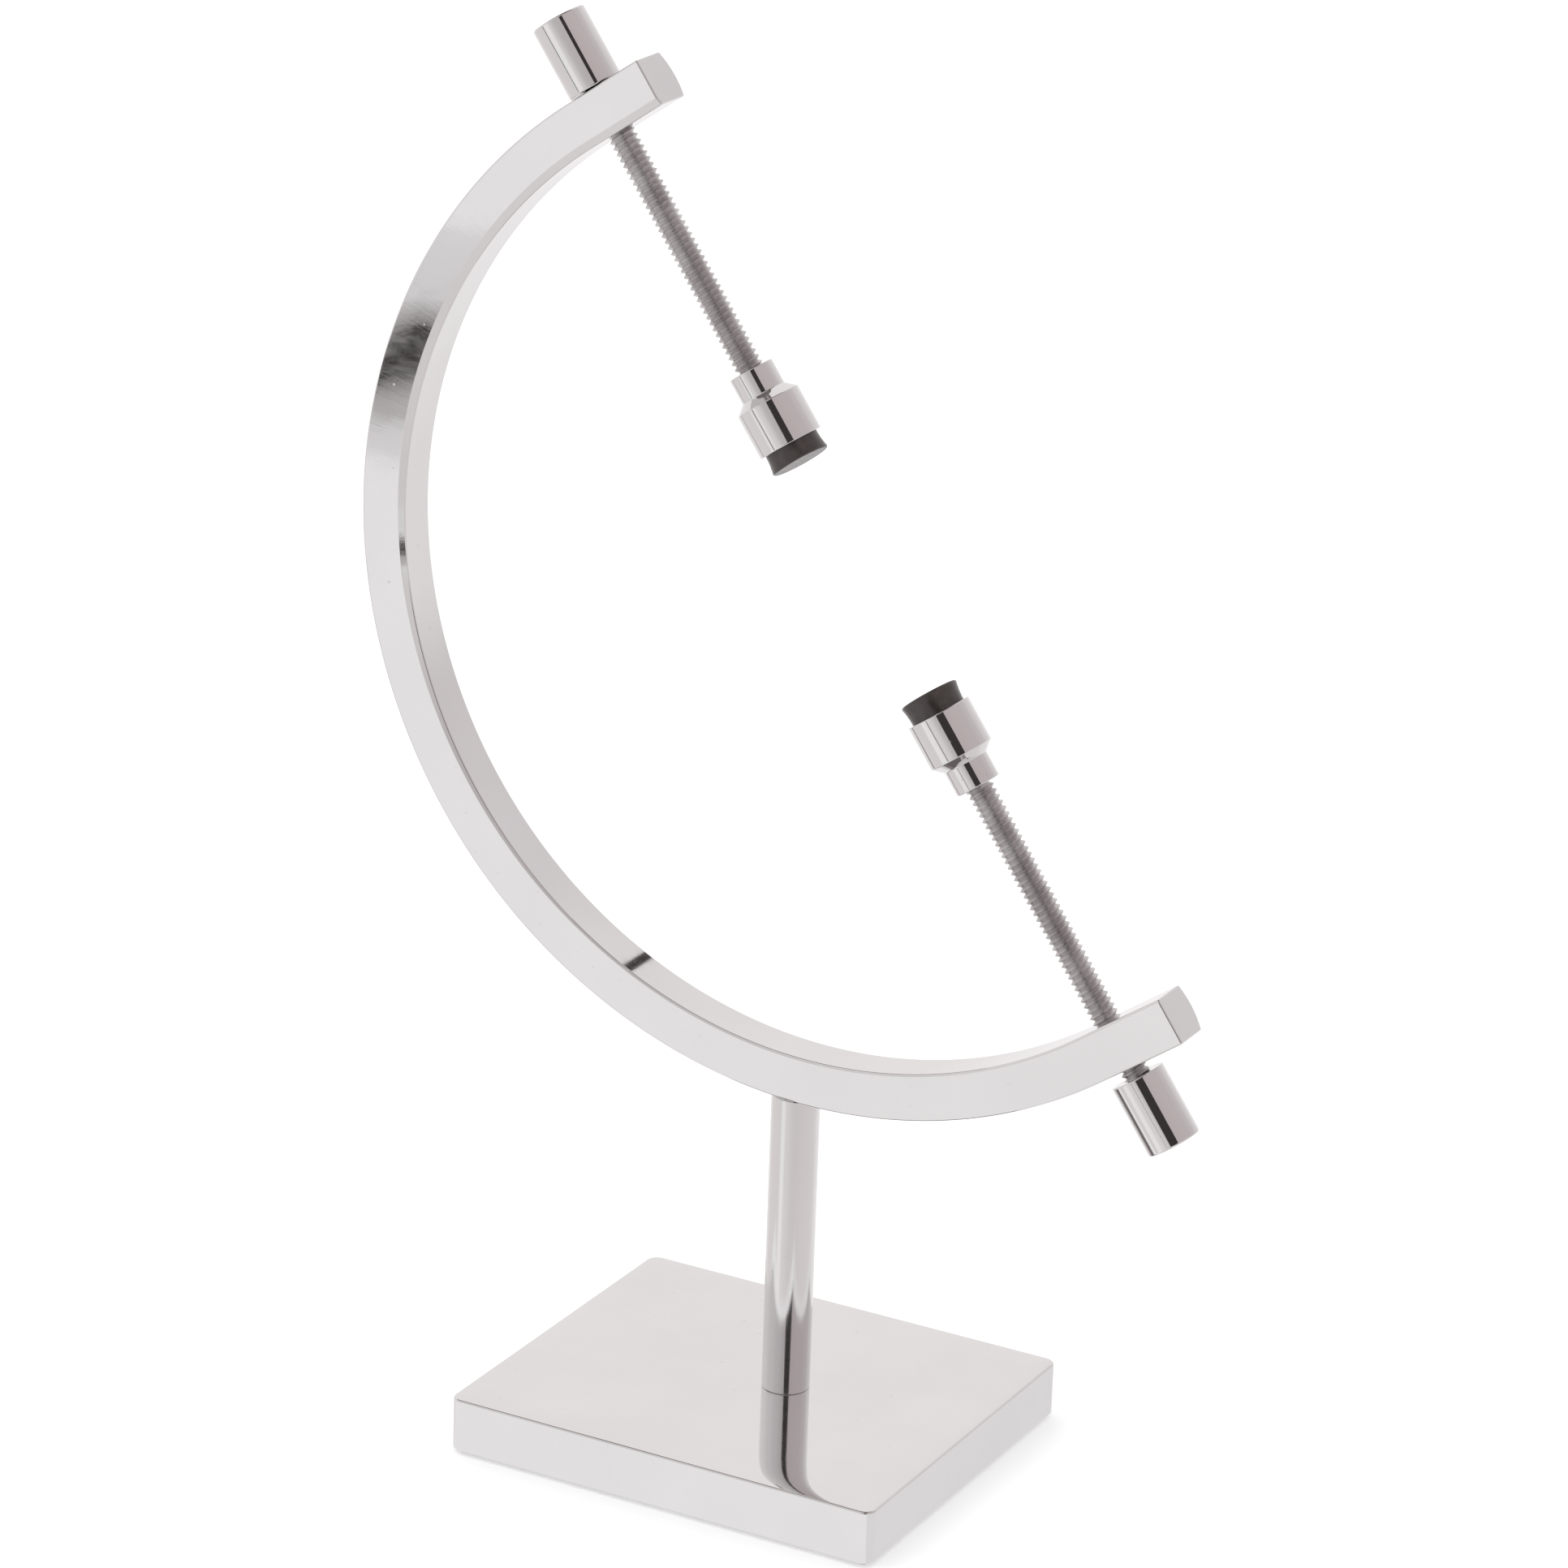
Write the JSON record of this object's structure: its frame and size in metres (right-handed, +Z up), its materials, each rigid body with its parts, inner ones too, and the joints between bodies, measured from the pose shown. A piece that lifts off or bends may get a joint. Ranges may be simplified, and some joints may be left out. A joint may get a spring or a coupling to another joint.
{
  "type": "specimen display stand",
  "caption": "C-arm display stand: a slab base and post carry a bent square bar whose opposed, padded thumb screws clamp a ball or mineral between them.",
  "frame": {"origin": "middle of the underside, on the surface the stand rests on", "axes": "+Z up, the arm lies in the XZ plane and opens towards +X, -Y is the front"},
  "size_m": [0.1562, 0.0684, 0.2408],
  "materials": {
    "chrome_plate": "polished chrome plate on steel",
    "bright_steel": "bright cut thread",
    "plain_steel": "zinc-plated fastener",
    "pad_rubber": "smooth dark brown rubber",
    "liner_rubber": "matte pale grey non-slip sheet"
  },
  "bodies": {
    "stand": {"base_plate": "chrome_plate", "base_liner": "liner_rubber", "base_screw": "plain_steel", "base_lock_washer": "plain_steel", "post": "chrome_plate", "post_stud": "plain_steel", "arm": "chrome_plate"},
    "upper_pad_holder": {"upper_cup": "chrome_plate", "upper_pad": "pad_rubber"},
    "upper_thumb_screw": {"upper_screw": "bright_steel", "upper_knob": "chrome_plate", "upper_retaining_ring": "plain_steel"},
    "lower_pad_holder": {"lower_cup": "chrome_plate", "lower_pad": "pad_rubber"},
    "lower_thumb_screw": {"lower_screw": "bright_steel", "lower_knob": "chrome_plate", "lower_retaining_ring": "plain_steel"}
  },
  "joints": [
    {"name": "upper_pad_travel", "type": "slide", "parent": "stand", "child": "upper_pad_holder", "axis": [-0.5793, 0, 0.8151], "range_m": [0, 0.0425]},
    {"name": "upper_screw_turn", "type": "hinge", "parent": "upper_pad_holder", "child": "upper_thumb_screw", "pos_m": [-0.02026, 0, 0.20431], "axis": [-0.5793, 0, 0.8151], "range_deg": [0, 14460]},
    {"name": "lower_pad_travel", "type": "slide", "parent": "stand", "child": "lower_pad_holder", "axis": [0.5793, 0, -0.8151], "range_m": [-0.0015, 0.0425]},
    {"name": "lower_screw_turn", "type": "hinge", "parent": "lower_pad_holder", "child": "lower_thumb_screw", "pos_m": [0.04926, 0, 0.10649], "axis": [0.5793, 0, -0.8151], "range_deg": [-511, 14460]}
  ],
  "couplings": [
    {"joint": "upper_screw_turn", "follows": "upper_pad_travel", "rad_per_m": 5937.1},
    {"joint": "lower_screw_turn", "follows": "lower_pad_travel", "rad_per_m": 5937.1}
  ]
}
